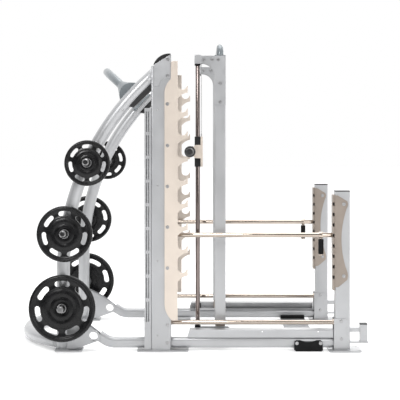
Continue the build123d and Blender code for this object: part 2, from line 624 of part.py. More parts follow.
wheel_y = (586.0, 616.0)
with BuildPart() as wheel_axles:
    rods([(x, WHEEL_Z) for x in WHEEL_X], (TROLLEY_Y[0], wheel_y[1] + 1), WHEEL_AXLE_R)
    rods([(x, WHEEL_Z) for x in WHEEL_X], (wheel_y[1] + 1, wheel_y[1] + 4), WHEEL_AXLE_R + 4)
    rods([(x, WHEEL_Z) for x in WHEEL_X], (TROLLEY_Y[1], wheel_y[0] - 1), WHEEL_AXLE_R + 3)
    both_sides()
pieces["wheel_axles"] = wheel_axles

for name, x in zip(("rear_wheels", "front_wheels"), WHEEL_X):
    with BuildPart() as wheels:
        rods([(x, WHEEL_Z)], wheel_y, WHEEL_R)
        chamfer(wheels.edges(), 2)
        rods([(x, WHEEL_Z)], (wheel_y[0] - 1, wheel_y[1] + 1), WHEEL_AXLE_R + RUNNING, mode=Mode.SUBTRACT)
        both_sides()
    pieces[name] = wheels

pulley_y = (SHUTTLE_Y - 6, SHUTTLE_Y + 6)
for name, x in (("front_pulleys", FRONT_PULLEY_X), ("rear_pulleys", REAR_PULLEY_X)):
    with BuildPart() as pulleys:
        with BuildSketch(Plane.XY.offset(PULLEY_Z)):
            with BuildLine():
                groove = PULLEY_PITCH_R - CABLE_R - 0.3
                Polyline((x + 4 + RUNNING, -pulley_y[0]), (x + PULLEY_R, -pulley_y[0]),
                         (x + PULLEY_R, -pulley_y[0] - 2), (x + groove, -SHUTTLE_Y + 2),
                         (x + groove, -SHUTTLE_Y - 2), (x + PULLEY_R, -pulley_y[1] + 2),
                         (x + PULLEY_R, -pulley_y[1]), (x + 4 + RUNNING, -pulley_y[1]), close=True)
            make_face()
        revolve(axis=Axis((x, 0, PULLEY_Z), (0, 1, 0)))
        both_sides()
    pieces[name] = pulleys

axles = [(FRONT_PULLEY_X, PULLEY_Z), (REAR_PULLEY_X, PULLEY_Z)]
with BuildPart() as shuttle_bolts:
    for face, way in ((gusset_faces[1] + GUSSET_T, 1), (gusset_faces[0], -1)):
        rods(axles + [(160, PULLEY_Z), (SHUTTLE_X, 1826), (SHUTTLE_X, 1697)],
             (face, face + way * BOLT_H), BOLT_R, taper=15)
    rods(axles, (gusset_faces[0], gusset_faces[1] + GUSSET_T), 4)
    both_sides()
pieces["shuttle_bolts"] = shuttle_bolts

with BuildPart() as lift_cables:
    cable_front, cable_rear = FRONT_PULLEY_X - PULLEY_PITCH_R, REAR_PULLEY_X + PULLEY_PITCH_R
    cable_start = BAR_Z + CARRIAGE_H + 0.5
    with BuildLine(outward(SHUTTLE_Y)) as cable_path:
        rise = Line((cable_front, cable_start), (cable_front, PULLEY_Z))
        over = JernArc(rise @ 1, rise % 1, PULLEY_PITCH_R, -90)
        across = Line(over @ 1, (REAR_PULLEY_X, PULLEY_Z + PULLEY_PITCH_R))
        down = JernArc(across @ 1, across % 1, PULLEY_PITCH_R, -90)
        Line(down @ 1, (cable_rear, WEIGHT_Z[1] + 0.5))
    with BuildSketch(Plane((cable_front, -SHUTTLE_Y, cable_start))):
        Circle(CABLE_R)
    sweep(path=cable_path.line)
    both_sides()
pieces["lift_cables"] = lift_cables

with BuildPart() as counterweights:
    block((SHUTTLE_X - 33, SHUTTLE_X + 33), (SHUTTLE_Y - 20, SHUTTLE_Y + 20), WEIGHT_Z)
    chamfer(counterweights.edges(), 3)
    both_sides()
pieces["counterweights"] = counterweights

# --- bar ------------------------------------------------------------------------------
with BuildPart() as bar_shaft:
    rods([(BAR_X, BAR_Z)], (-SLEEVE_Y[2] + 12, SLEEVE_Y[2] - 12), BAR_R)
pieces["bar_shaft"] = bar_shaft

bearing_x = (39.0, 80.0)
bearing_y = (SHUTTLE_Y - 22, SHUTTLE_Y + 22)
CHEEK_T, CHEEK_H = 6.0, 46.0
with BuildPart() as carriage_plates:
    block((bearing_x[1], bearing_x[1] + 15), bearing_y, (BAR_Z - CARRIAGE_H, BAR_Z + CARRIAGE_H))
    for face in (bearing_y[0] - CHEEK_T, bearing_y[1]):
        with BuildSketch(outward(face)):
            with BuildLine():
                Polyline((bearing_x[1] + 15, BAR_Z - CHEEK_H), (bearing_x[1] + 15, BAR_Z + CHEEK_H),
                         (bearing_x[0] + 6, BAR_Z + CHEEK_H), (BAR_X + 10, BAR_Z + 24))
                ThreePointArc((BAR_X + 10, BAR_Z + 24), (BAR_X - 26, BAR_Z), (BAR_X + 10, BAR_Z - 24))
                Polyline((BAR_X + 10, BAR_Z - 24), (bearing_x[0] + 6, BAR_Z - CHEEK_H),
                         (bearing_x[1] + 15, BAR_Z - CHEEK_H))
            make_face()
        extrude(amount=CHEEK_T)
    rods([(BAR_X, BAR_Z)], (bearing_y[0] - 10, bearing_y[1] + 10), BAR_R + 0.05, mode=Mode.SUBTRACT)
    both_sides()
pieces["carriage_plates"] = carriage_plates

with BuildPart() as bearing_blocks:
    block(bearing_x, bearing_y, (BAR_Z - CARRIAGE_H, BAR_Z + CARRIAGE_H))
    fillet(bearing_blocks.edges().filter_by(Axis.Z).group_by(Axis.X)[0], 6)
    with BuildSketch(Plane.XY.offset(BAR_Z - CARRIAGE_H - 1)):
        with Locations((ROD_X, -SHUTTLE_Y)):
            Circle(ROD_R + RUNNING)
    extrude(amount=2 * CARRIAGE_H + 2, mode=Mode.SUBTRACT)
    both_sides()
pieces["bearing_blocks"] = bearing_blocks

with BuildPart() as sleeve_left:
    rods([(BAR_X, BAR_Z)], (SLEEVE_Y[0], SLEEVE_Y[1]), COLLAR_R)
    chamfer(sleeve_left.edges(), 3)
    rods([(BAR_X, BAR_Z)], (SLEEVE_Y[1], SLEEVE_Y[2]), SLEEVE_R)
    rods([(BAR_X, BAR_Z)], (SLEEVE_Y[0] - 1, SLEEVE_Y[2] - 10), BAR_R + RUNNING, mode=Mode.SUBTRACT)
pieces["sleeve_left"] = sleeve_left
pieces["sleeve_right"] = other_side(sleeve_left)

# --- safety rods ----------------------------------------------------------------------
GRIP_X = 902.0
with BuildPart() as safety_rod_left:
    with BuildSketch(Plane.YZ.offset(-150)):
        with Locations((-SIDE_Y, SAFETY_Z)):
            Circle(SAFETY_R)
    extrude(amount=150 + STRIP_X - 3)
    with BuildSketch(Plane.YZ.offset(STRIP_X - 3)):
        with Locations((-SIDE_Y, SAFETY_Z)):
            Circle(14)
    extrude(amount=17)
    with BuildSketch(Plane.YZ.offset(GRIP_X - 13)):
        with Locations((-SIDE_Y, SAFETY_Z)):
            Circle(SAFETY_R + 6)
    extrude(amount=26)
    with BuildSketch(Plane.XY.offset(SAFETY_Z - SAFETY_R)):
        with Locations((GRIP_X, -SIDE_Y)):
            Circle(8)
    extrude(amount=-121)
    with BuildSketch(Plane.XY.offset(656)):
        with Locations((GRIP_X, -SIDE_Y)):
            Circle(15)
    extrude(amount=-8)
pieces["safety_rod_left"] = safety_rod_left
pieces["safety_rod_right"] = other_side(safety_rod_left)

with BuildPart() as safety_grip_left:
    with BuildSketch(Plane.XY.offset(656)):
        with Locations((GRIP_X, -SIDE_Y)):
            Circle(19)
    extrude(amount=102)
    fillet(safety_grip_left.edges(), 5)
    with BuildSketch(Plane.XY.offset(655)):
        with Locations((GRIP_X, -SIDE_Y)):
            Circle(8.1)
    extrude(amount=104, mode=Mode.SUBTRACT)
pieces["safety_grip_left"] = safety_grip_left
pieces["safety_grip_right"] = other_side(safety_grip_left)

# --- weight plates --------------------------------------------------------------------
GRIP_SLOTS = 7
for size, (x, z, radius, thickness) in WEIGHT_PLATES.items():
    back = Plane(origin=(x, -PLATE_Y, z), x_dir=(1, 0, 0), z_dir=horn_out).offset(-thickness / 2)
    recess = 0.2 * thickness
    with BuildPart() as plate_left:
        with BuildSketch(back):
            Circle(radius)
        extrude(amount=thickness)
        fillet(plate_left.edges(), 0.22 * thickness)
        for face, way in ((back, 1), (back.offset(thickness), -1)):
            with BuildSketch(face):
                Circle(0.86 * radius)
                Circle(0.6 * radius, mode=Mode.SUBTRACT)
            extrude(amount=way * recess, taper=0, mode=Mode.SUBTRACT)
        with BuildSketch(back):
            with PolarLocations(0.735 * radius, GRIP_SLOTS, start_angle=90):
                SlotOverall(0.47 * radius, 0.17 * radius, rotation=90)
            Circle(PLATE_BORE_R)
        extrude(amount=thickness, mode=Mode.SUBTRACT)
    pieces[f"plate_{size}_left"] = plate_left
    pieces[f"plate_{size}_right"] = other_side(plate_left)

for label, piece in pieces.items():
    piece.part.label = label
    export_step(piece.part, f"parts/{label}.step")
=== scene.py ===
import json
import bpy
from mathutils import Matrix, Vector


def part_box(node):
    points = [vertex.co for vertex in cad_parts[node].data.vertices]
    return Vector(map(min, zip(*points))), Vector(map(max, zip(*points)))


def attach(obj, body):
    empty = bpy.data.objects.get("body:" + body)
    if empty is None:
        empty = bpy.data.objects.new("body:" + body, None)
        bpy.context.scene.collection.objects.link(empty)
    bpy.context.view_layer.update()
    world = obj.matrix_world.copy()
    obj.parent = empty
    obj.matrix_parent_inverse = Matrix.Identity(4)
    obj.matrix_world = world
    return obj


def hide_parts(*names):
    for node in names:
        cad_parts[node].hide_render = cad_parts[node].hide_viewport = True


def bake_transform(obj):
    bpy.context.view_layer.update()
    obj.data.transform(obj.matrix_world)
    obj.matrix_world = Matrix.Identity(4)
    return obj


bl_info = {
    "name": "Smith Machine Workshop",
    "version": (1, 0, 0),
    "blender": (4, 5, 0),
    "location": "3D View > Sidebar > Smith Machine",
    "description": "Finishes, fine parts and a studio for a smith machine with a rolling bar carriage",
    "category": "Object",
}

from math import cos, pi, radians, sin, tau

import bmesh
import bpy
from bpy.props import FloatProperty, FloatVectorProperty, PointerProperty
from mathutils import Matrix, Vector

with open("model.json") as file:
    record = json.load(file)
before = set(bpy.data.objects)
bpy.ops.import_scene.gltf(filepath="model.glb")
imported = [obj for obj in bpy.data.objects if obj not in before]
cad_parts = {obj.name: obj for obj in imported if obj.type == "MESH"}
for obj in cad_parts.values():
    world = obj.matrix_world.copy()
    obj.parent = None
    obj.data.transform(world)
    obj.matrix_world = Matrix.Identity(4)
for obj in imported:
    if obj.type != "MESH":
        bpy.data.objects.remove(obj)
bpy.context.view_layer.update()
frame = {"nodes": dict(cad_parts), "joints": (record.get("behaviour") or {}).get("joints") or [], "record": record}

SIDES = {"left": -1, "right": 1}

# Weight plates, which sit square to their tilted horns.
PLATE_SIZES = ("large", "medium", "small")
HORN_TILT = radians(4)
HORN_CLEARANCE = 0.0012
GRIP_SLOTS = 7

# Fixings: a smaller one is a domed screw, and a longer one is a bolt with a head at each end.
SMALLEST_BOLT = 0.008
LONGEST_HEAD = 0.02
SCREW_HEAD = 0.003

# Bar sleeves, with grooves at these distances from the collar's inner face.
SLEEVE_CLEARANCE = 0.00005
SLEEVE_GROOVES = (0.10, 0.20, 0.30)

# Safety rods: their drop grips, the collar over each rod, and the levels of the slots.
GRIP_STEM = 0.0081
GRIP_RIBS = 9
ROD_COLLAR = 0.022
LEVELS_ABOVE = 3
LEVELS_BELOW = 4
SLOT_INSET = 0.0056
SLOT_DEPTH = 0.005

# Lift cables run at this radius round the pulleys.
PULLEY_GROOVE = 0.0175


# --- settings -----------------------------------------------------------------


def colour(name, description, default):
    """A colour setting."""
    return FloatVectorProperty(
        name=name, description=description, default=default, size=3, min=0, max=1, subtype="COLOR"
    )


def length(name, description, default):
    """A length setting."""
    return FloatProperty(
        name=name, description=description, default=default, min=0, unit="LENGTH", subtype="DISTANCE"
    )


class MachineColours(bpy.types.PropertyGroup):
    """Colours of the finishes"""

    silver: colour("Silver", "Metallic coat of the frame", (0.45, 0.455, 0.465))
    slate: colour("Slate", "Blue-grey coat of the arches", (0.19, 0.212, 0.225))
    champagne: colour("Champagne", "Satin nickel of the rack plates", (0.74, 0.655, 0.575))
    bronze: colour("Bronze", "Darker nickel of the slot plates", (0.34, 0.29, 0.25))
    chrome: colour("Chrome", "Polished rods", (0.50, 0.43, 0.37))
    # The guide rod colour is the chrome darkened as painted shade, a painted dark reflection along the guide rods.
    guide: colour("Guide rods", "Hard chrome of the guide rods", (0.21, 0.175, 0.165))
    rubber: colour("Rubber", "Weight plates, pads and grips", (0.0045, 0.0045, 0.005))
    # Black also paints shade: on the tube saddles it is painted shade under the storage tubes.
    black: colour("Black", "Black coat and nylon", (0.012, 0.012, 0.0125))
    zinc: colour("Zinc", "Bolts, axles and cables", (0.42, 0.42, 0.425))


class MachineSizes(bpy.types.PropertyGroup):
    """Sizes of the fine parts"""

    frame_edge: length("Frame edge", "Rounding of the frame's edges", 0.0016)
    plate_edge: length("Plate edge", "Rounding of the grip slots' edges", 0.003)
    bolt_head: length("Bolt head", "Height of a hexagon bolt head", 0.008)
    weld: length("Weld", "Radius of a weld bead", 0.0032)
    cable: length("Cable", "Radius of a lift cable", 0.0016)
    level_pitch: length("Level pitch", "Spacing of the safety rod levels", 0.071)


# --- materials ----------------------------------------------------------------


def material(name, base, metallic, roughness, **extra):
    """A principled material. Returns the material and its shader."""
    made = bpy.data.materials.new(name)
    made.use_nodes = True
    shader = made.node_tree.nodes["Principled BSDF"]
    shader.inputs["Base Color"].default_value = (*base, 1)
    shader.inputs["Metallic"].default_value = metallic
    shader.inputs["Roughness"].default_value = roughness
    for socket, value in extra.items():
        shader.inputs[socket.replace("_", " ")].default_value = value
    return made, shader


def noise(made, scale, stretch=(1, 1, 1), detail=4.0):
    """Noise fixed to the piece. stretch below 1 draws it out along that axis."""
    nodes, links = made.node_tree.nodes, made.node_tree.links
    place = nodes.new("ShaderNodeTexCoord")
    mapping = nodes.new("ShaderNodeMapping")
    mapping.inputs["Scale"].default_value = stretch
    pattern = nodes.new("ShaderNodeTexNoise")
    pattern.inputs["Scale"].default_value = scale
    pattern.inputs["Detail"].default_value = detail
    links.new(place.outputs["Object"], mapping.inputs["Vector"])
    links.new(mapping.outputs["Vector"], pattern.inputs["Vector"])
    return pattern.outputs["Fac"]


def ranged(made, value, low, high, start=0.3, end=0.7):
    """The value between start and end, mapped to low and high."""
    node = made.node_tree.nodes.new("ShaderNodeMapRange")
    for socket, number in (("From Min", start), ("From Max", end), ("To Min", low), ("To Max", high)):
        node.inputs[socket].default_value = number
    made.node_tree.links.new(value, node.inputs["Value"])
    return node.outputs["Result"]


def two_tones(made, value, first, second, start, end):
    """A colour that runs from first to second as the value rises from start to end."""
    node = made.node_tree.nodes.new("ShaderNodeValToRGB")
    for element, place, tone in zip(node.color_ramp.elements, (start, end), (first, second)):
        element.position = place
        element.color = (*tone, 1)
    made.node_tree.links.new(value, node.inputs["Fac"])
    return node.outputs["Color"]


def vary_colour(made, shader, value, first, second, start=0.3, end=0.7):
    """Base colour that follows the value."""
    tones = two_tones(made, value, first, second, start, end)
    made.node_tree.links.new(tones, shader.inputs["Base Color"])


def vary_gloss(made, shader, value, low, high):
    """Roughness between low and high that follows the value."""
    made.node_tree.links.new(ranged(made, value, low, high), shader.inputs["Roughness"])


def bump(made, shader, value, strength, distance):
    """Relief from the value; further relief is laid over what is already there."""
    node = made.node_tree.nodes.new("ShaderNodeBump")
    node.inputs["Strength"].default_value = strength
    node.inputs["Distance"].default_value = distance
    normal = shader.inputs["Normal"]
    if normal.is_linked:
        made.node_tree.links.new(normal.links[0].from_socket, node.inputs["Normal"])
    made.node_tree.links.new(value, node.inputs["Height"])
    made.node_tree.links.new(node.outputs["Normal"], normal)


def shaded(base, factor):
    """The colour made darker or lighter by a factor."""
    return tuple(min(1.0, channel * factor) for channel in base)


def powder_coat(name, base):
    """Metallic powder coat: faint flakes, orange peel and uneven gloss."""
    made, shader = material(name, base, 0.5, 0.36, Coat_Weight=0.3, Coat_Roughness=0.2)
    vary_colour(made, shader, noise(made, 3.0), shaded(base, 0.93), shaded(base, 1.06))
    vary_gloss(made, shader, noise(made, 11.0), 0.29, 0.41)
    bump(made, shader, noise(made, 900.0, detail=2.0), 0.10, 0.0004)
    bump(made, shader, noise(made, 160.0, detail=1.0), 0.06, 0.0008)
    return made


def satin_nickel(name, base, second):
    """Upright brushed plating, with fine lines and cloudy warm patches."""
    made, shader = material(name, base, 0.55, 0.36, Specular_IOR_Level=0.6)
    vary_colour(made, shader, noise(made, 5.0, detail=6.0), second, base, 0.34, 0.66)
    lines = noise(made, 700.0, (1, 1, 0.02), 3.0)
    vary_gloss(made, shader, lines, 0.28, 0.48)
    bump(made, shader, lines, 0.12, 0.0003)
    return made


def polished(name, base, grain):
    """Chromed rod with faint draw lines along the small axis of the grain."""
    made, shader = material(name, base, 1.0, 0.16)
    lines = noise(made, 500.0, grain, 2.0)
    vary_gloss(made, shader, lines, 0.10, 0.22)
    vary_colour(made, shader, noise(made, 9.0), shaded(base, 0.92), shaded(base, 1.05))
    bump(made, shader, lines, 0.04, 0.0002)
    return made


def moulded_rubber(name, base, rough=0.4, shine=0.18):
    """Rubber with a pebbled skin and dusty patches."""
    made, shader = material(name, base, 0.0, rough, Specular_IOR_Level=shine)
    vary_colour(made, shader, noise(made, 14.0), shaded(base, 0.75), shaded(base, 1.7))
    vary_gloss(made, shader, noise(made, 32.0), rough - 0.08, rough + 0.12)
    bump(made, shader, noise(made, 1100.0, detail=2.0), 0.22, 0.0005)
    return made


def black_coat(name, base):
    """Black satin coat with soft wear."""
    made, shader = material(name, base, 0.0, 0.34, Coat_Weight=0.2, Coat_Roughness=0.25)
    vary_colour(made, shader, noise(made, 20.0), shaded(base, 0.8), shaded(base, 1.5))
    vary_gloss(made, shader, noise(made, 60.0), 0.27, 0.44)
    bump(made, shader, noise(made, 700.0), 0.08, 0.0004)
    return made


def zinc_plate(name, base):
    """Bright zinc with cloudy crystals."""
    made, shader = material(name, base, 0.9, 0.3)
    vary_colour(made, shader, noise(made, 120.0), shaded(base, 0.8), shaded(base, 1.15))
    vary_gloss(made, shader, noise(made, 300.0), 0.22, 0.4)
    bump(made, shader, noise(made, 800.0), 0.05, 0.0003)
    return made


def cast_metal(name, base):
    """Grainy cast iron."""
    made, shader = material(name, base, 0.6, 0.6)
    vary_colour(made, shader, noise(made, 60.0), shaded(base, 0.7), shaded(base, 1.3))
    vary_gloss(made, shader, noise(made, 90.0), 0.5, 0.7)
    bump(made, shader, noise(made, 500.0), 0.4, 0.0008)
    return made


def finishes():
    """All the finishes, made once."""
    have = bpy.data.materials
    if "silver coat" in have:
        return {made.name: made for made in have}
    colours = bpy.context.scene.machine_colours
    made = [
        powder_coat("silver coat", colours.silver),
        powder_coat("slate coat", colours.slate),
        satin_nickel("champagne nickel", colours.champagne, shaded(colours.champagne, 0.9)),
        satin_nickel("bronze nickel", colours.bronze, shaded(colours.bronze, 0.8)),
        polished("chromed rod", colours.chrome, (0.02, 1, 1)),
        # The guide rod chrome is a darker copy of the rod chrome, painted shade for the dark reflections on the
        # guide rods.
        polished("guide rod chrome", colours.guide, (1, 1, 0.02)),
        # The horn chrome is the zinc darkened to 0.6, a painted dark reflection on the horns.
        polished("horn chrome", shaded(colours.zinc, 0.6), (1, 0.02, 1)),
        moulded_rubber("plate rubber", colours.rubber, 0.24, 0.28),
        moulded_rubber("pad rubber", colours.rubber, 0.62),
        black_coat("black coat", colours.black),
        # Black nylon also makes the black pieces in the adjustment plate slots, which are painted shade.
        moulded_rubber("black nylon", colours.black, 0.42),
        zinc_plate("zinc plating", colours.zinc),
        cast_metal("cast weight", (0.10, 0.10, 0.105)),
    ]
    return {one.name: one for one in made}


CAD_FINISHES = {
    "silver coat": (
        "column_left", "column_right", "column_covers", "column_heads", "storage_tube_left",
        "storage_tube_right", "foot_plates", "rear_brackets", "rear_base_tubes", "rear_floor_bow",
        "front_base_tubes", "slide_channels", "floor_cross_plate", "front_post_left",
        "front_post_right", "corner_plates", "anchor_stubs", "shuttle_post_left",
        "shuttle_post_right", "gusset_plates", "rod_head_blocks", "trolleys",
    ),
    "slate coat": ("rear_top_arch", "shuttle_arch"),
    "champagne nickel": ("rack_plate_left", "rack_plate_right", "carriage_plates"),
    "bronze nickel": ("slot_plate_left", "slot_plate_right", "post_feet"),
    "chromed rod": ("lower_stop_rods", "safety_rod_left", "safety_rod_right"),
    "guide rod chrome": ("guide_rods",),
    "horn chrome": ("storage_horns",),
    # On the tube saddles the black coat is painted shade under the storage tubes; on the bar shaft it is the
    # shaft's own black coat.
    "black coat": ("tube_saddles", "bar_shaft"),
    "black nylon": (
        "tube_caps", "bearing_blocks", "front_pulleys", "rear_pulleys", "front_wheels", "rear_wheels",
    ),
    "pad rubber": ("rubber_end_pads", "rod_bumpers"),
    "zinc plating": ("wheel_axles",),
    "cast weight": ("counterweights",),
}


# --- mesh helpers -------------------------------------------------------------


def axis_matrix(point, axis):
    """Local +Z along the axis, at the point, with local +Y kept upwards where it can be."""
    z = Vector(axis).normalized()
    x = Vector((1, 0, 0)) if abs(z.x) < 0.9 else Vector((0, 1, 0))
    y = z.cross(x).normalized()
    x = y.cross(z)
    turn = Matrix((x, y, z)).transposed().to_4x4()
    return Matrix.Translation(point) @ turn


def skin(shape, rings, steps, closed):
    """Faces between rings of points, where a ring may be a single point; closed joins the ends."""
    pairs = list(zip(rings, rings[1:]))
    if closed:
        pairs.append((rings[-1], rings[0]))
    for low, high in pairs:
        for n in range(steps):
            m = n + 1
            corners = (low[n % len(low)], low[m % len(low)], high[m % len(high)], high[n % len(high)])
            corners = list(dict.fromkeys(corners))
            if len(corners) > 2:
                shape.faces.new(corners)


def lathe(profile, steps=64, closed=False, turn=0.0):
    """A mesh turned about Z from (radius, height) points; closed joins the last to the first."""
    shape = bmesh.new()
    rings = []
    for radius, height in profile:
        if radius < 1e-7:
            rings.append([shape.verts.new((0, 0, height))])
            continue
        ring = []
        for n in range(steps):
            angle = turn + tau * n / steps
            ring.append(shape.verts.new((radius * cos(angle), radius * sin(angle), height)))
        rings.append(ring)
    skin(shape, rings, steps, closed)
    bmesh.ops.recalc_face_normals(shape, faces=shape.faces)
    return shape


def join_into(target, source, matrix):
    """Adds a moved copy of one mesh to another, and frees it."""
    source.transform(matrix)
    scrap = bpy.data.meshes.new("scrap")
    source.to_mesh(scrap)
    source.free()
    target.from_mesh(scrap)
    bpy.data.meshes.remove(scrap)


def as_object(name, shape):
    """An object in the scene that takes over the mesh."""
    mesh = bpy.data.meshes.new(name)
    shape.to_mesh(mesh)
    shape.free()
    made = bpy.data.objects.new(name, mesh)
    bpy.context.scene.collection.objects.link(made)
    return made


def finish_piece(name, shape, finish, body=None, replaces=(), sharp=35):
    """Turns a mesh into a piece of the machine. With no body it is left free."""
    bmesh.ops.remove_doubles(shape, verts=shape.verts, dist=1e-7)
    for edge in shape.edges:
        edge.smooth = len(edge.link_faces) == 2 and edge.calc_face_angle(0) < radians(sharp)
    for face in shape.faces:
        face.smooth = True
    piece = as_object(name, shape)
    piece.data.materials.append(finishes()[finish])
    if replaces:
        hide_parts(*replaces)
    if body:
        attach(piece, body)
    return piece


def mount_radius(name):
    """The radius of the round mount of that name."""
    mount = next(mount for mount in frame["record"]["mounts"] if mount["name"] == name)
    return mount["dims"]["r_mm"] / 1000


def solids(node):
    """Boxes, (lowest, highest), of the separate solids in a CAD node, in a fixed order."""
    shape = bmesh.new()
    shape.from_mesh(frame["nodes"][node].data)
    bmesh.ops.remove_doubles(shape, verts=shape.verts, dist=1e-5)
    shape.verts.index_update()
    seen, boxes = set(), []
    for first in shape.verts:
        if first.index in seen:
            continue
        seen.add(first.index)
        waiting, points = [first], []
        while waiting:
            vert = waiting.pop()
            points.append(vert.co.copy())
            for edge in vert.link_edges:
                other = edge.other_vert(vert)
                if other.index not in seen:
                    seen.add(other.index)
                    waiting.append(other)
        low = Vector(min(p[k] for p in points) for k in range(3))
        high = Vector(max(p[k] for p in points) for k in range(3))
        boxes.append((low, high))
    shape.free()
    return sorted(boxes, key=lambda b: (round(b[0].y, 4), round(b[0].z, 4), round(b[0].x, 4)))


def tube_along(points, radius, steps=12, ripple=0.0, closed=False):
    """A round tube through points. ripple swells it in scallops, as on a weld."""
    shape = bmesh.new()
    rings = []
    count = len(points)
    for n, point in enumerate(points):
        before = points[(n - 1) % count] if closed or n else point
        after = points[(n + 1) % count] if closed or n < count - 1 else point
        matrix = axis_matrix(point, after - before)
        size = radius * (1 + ripple * (n % 2))
        ring = []
        for k in range(steps):
            angle = tau * k / steps
            ring.append(shape.verts.new(matrix @ Vector((size * cos(angle), size * sin(angle), 0))))
        rings.append(ring)
    skin(shape, rings, steps, closed)
    if not closed:
        shape.faces.new(rings[0])
        shape.faces.new(rings[-1])
    bmesh.ops.recalc_face_normals(shape, faces=shape.faces)
    return shape


# --- CAD finishes -------------------------------------------------------------


class SMITH_OT_frame_finish(bpy.types.Operator):
    """Gives every CAD piece its finish and softens its edges"""

    bl_idname = "smith.frame_finish"
    bl_label = "Finish the frame"

    def execute(self, context):
        made = finishes()
        edge = context.scene.machine_sizes.frame_edge
        for finish, nodes in CAD_FINISHES.items():
            for node in nodes:
                piece = frame["nodes"][node]
                piece.data.materials.clear()
                piece.data.materials.append(made[finish])
                weld = piece.modifiers.new("weld", "WELD")
                weld.merge_threshold = 0.00002
                flat = piece.modifiers.new("flat faces", "DECIMATE")
                flat.decimate_type = "DISSOLVE"
                flat.angle_limit = radians(0.6)
                bevel = piece.modifiers.new("edge", "BEVEL")
                bevel.width = edge
                bevel.segments = 2
                bevel.limit_method = "ANGLE"
                bevel.angle_limit = radians(38)
                bevel.harden_normals = True
        return {"FINISHED"}


# --- weight plates ------------------------------------------------------------


def plate_profile(radius, thick, bore):
    """(radius, height) points round one plate's section: hub disc, web, and rounded rim."""
    half = thick / 2
    web = half - 0.2 * thick
    front = [
        (bore, half - 0.002), (bore + 0.002, half),
        (0.33 * radius, half), (0.345 * radius, half - 0.0016),
        (0.36 * radius, half - 0.0016), (0.375 * radius, half), (0.56 * radius, half - 0.0005),
        (0.585 * radius, half - 0.004), (0.60 * radius, web + 0.002), (0.615 * radius, web),
        (0.845 * radius, web), (0.86 * radius, web + 0.002), (0.875 * radius, half - 0.005),
        (0.895 * radius, half - 0.001), (0.93 * radius, half), (0.965 * radius, half - 0.003),
        (0.988 * radius, half - 0.009), (radius, half - 0.018),
    ]
    back = [(r, -h) for r, h in reversed(front)]
    return front + back


def slot_cutter(radius, thick, centre_angle):
    """A curved round-ended block that cuts one grip slot."""
    middle, width, half_length = 0.735 * radius, 0.17 * radius, 0.235 * radius
    spread = (half_length - width / 2) / middle
    outline = []
    for sign, edge_radius in ((-1, middle + width / 2), (1, middle - width / 2)):
        for n in range(9):
            angle = centre_angle + sign * spread * (1 - n / 4)
            outline.append(Vector((edge_radius * cos(angle), edge_radius * sin(angle), 0)))
        end_angle = centre_angle - sign * spread
        centre = Vector((middle * cos(end_angle), middle * sin(end_angle), 0))
        for n in range(1, 8):
            turn = end_angle + (0 if sign < 0 else pi) + pi * n / 8
            outline.append(centre + Vector((cos(turn), sin(turn), 0)) * width / 2)
    shape = bmesh.new()
    top = [shape.verts.new(p + Vector((0, 0, thick))) for p in outline]
    low = [shape.verts.new(p - Vector((0, 0, thick))) for p in outline]
    shape.faces.new(top)
    shape.faces.new(list(reversed(low)))
    for n in range(len(top)):
        m = (n + 1) % len(top)
        shape.faces.new((top[m], top[n], low[n], low[m]))
    bmesh.ops.recalc_face_normals(shape, faces=shape.faces)
    return shape


def cut_plate(radius, thick, bore, edge):
    """A plate's mesh with its grip slots cut and their edges rounded, in its own axes."""
    body = as_object("plate blank", lathe(plate_profile(radius, thick, bore), 112, closed=True))
    knives = bmesh.new()
    for n in range(GRIP_SLOTS):
        join_into(knives, slot_cutter(radius, thick, pi / 2 + tau * n / GRIP_SLOTS), Matrix())
    knife = as_object("slot knives", knives)
    cut = body.modifiers.new("slots", "BOOLEAN")
    cut.operation = "DIFFERENCE"
    cut.object = knife
    cut.solver = "EXACT"
    soft = body.modifiers.new("soft", "BEVEL")
    soft.width = edge
    soft.segments = 3
    soft.limit_method = "ANGLE"
    soft.angle_limit = radians(50)
    bpy.context.view_layer.update()
    evaluated = body.evaluated_get(bpy.context.evaluated_depsgraph_get())
    result = bmesh.new()
    result.from_mesh(evaluated.to_mesh())
    evaluated.to_mesh_clear()
    for scrap in (body, knife):
        mesh = scrap.data
        bpy.data.objects.remove(scrap)
        bpy.data.meshes.remove(mesh)
    return result


class SMITH_OT_weight_plates(bpy.types.Operator):
    """Makes the six rubber-coated weight plates with their steel bores"""

    bl_idname = "smith.weight_plates"
    bl_label = "Weight plates"

    def execute(self, context):
        edge = context.scene.machine_sizes.plate_edge
        for size in PLATE_SIZES:
            for side, way in SIDES.items():
                node = f"plate_{size}_{side}"
                low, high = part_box(node)
                radius = (high.x - low.x) / 2
                thick = ((high.y - low.y) - 2 * radius * sin(HORN_TILT)) / cos(HORN_TILT)
                bore = mount_radius(f"{size}_horn_{side}") + HORN_CLEARANCE
                axis = Vector((0, way * cos(HORN_TILT), sin(HORN_TILT)))
                place = axis_matrix((low + high) / 2, axis)
                shape = cut_plate(radius, thick, bore, edge)
                shape.transform(place)
                name = f"{size}_plate_{side}"
                finish_piece(name, shape, "plate rubber", node, (node,), 50)
                sunk, proud = thick / 2 - 0.002, thick / 2 + 0.0006
                profile = [
                    (bore, sunk), (bore + 0.0015, proud), (bore + 0.006, proud), (bore + 0.0075, sunk),
                ]
                ring = lathe(profile, 48, closed=True)
                ring.transform(place)
                finish_piece(f"{size}_bore_ring_{side}", ring, "zinc plating", node)
        return {"FINISHED"}


# --- bolts --------------------------------------------------------------------


def hex_bolt(radius, height):
    """Washer and chamfered hexagon head, standing on Z = 0."""
    washer = [(0, 0), (radius, 0), (radius, 0.0014), (radius - 0.0007, 0.0018), (0, 0.0018)]
    head = [
        (0, 0.0012), (0.8 * radius, 0.0012), (0.8 * radius, height - 0.0012),
        (0.66 * radius, height), (0, height),
    ]
    shape = lathe(washer, 28)
    join_into(shape, lathe(head, 6, turn=pi / 6), Matrix())
    return shape


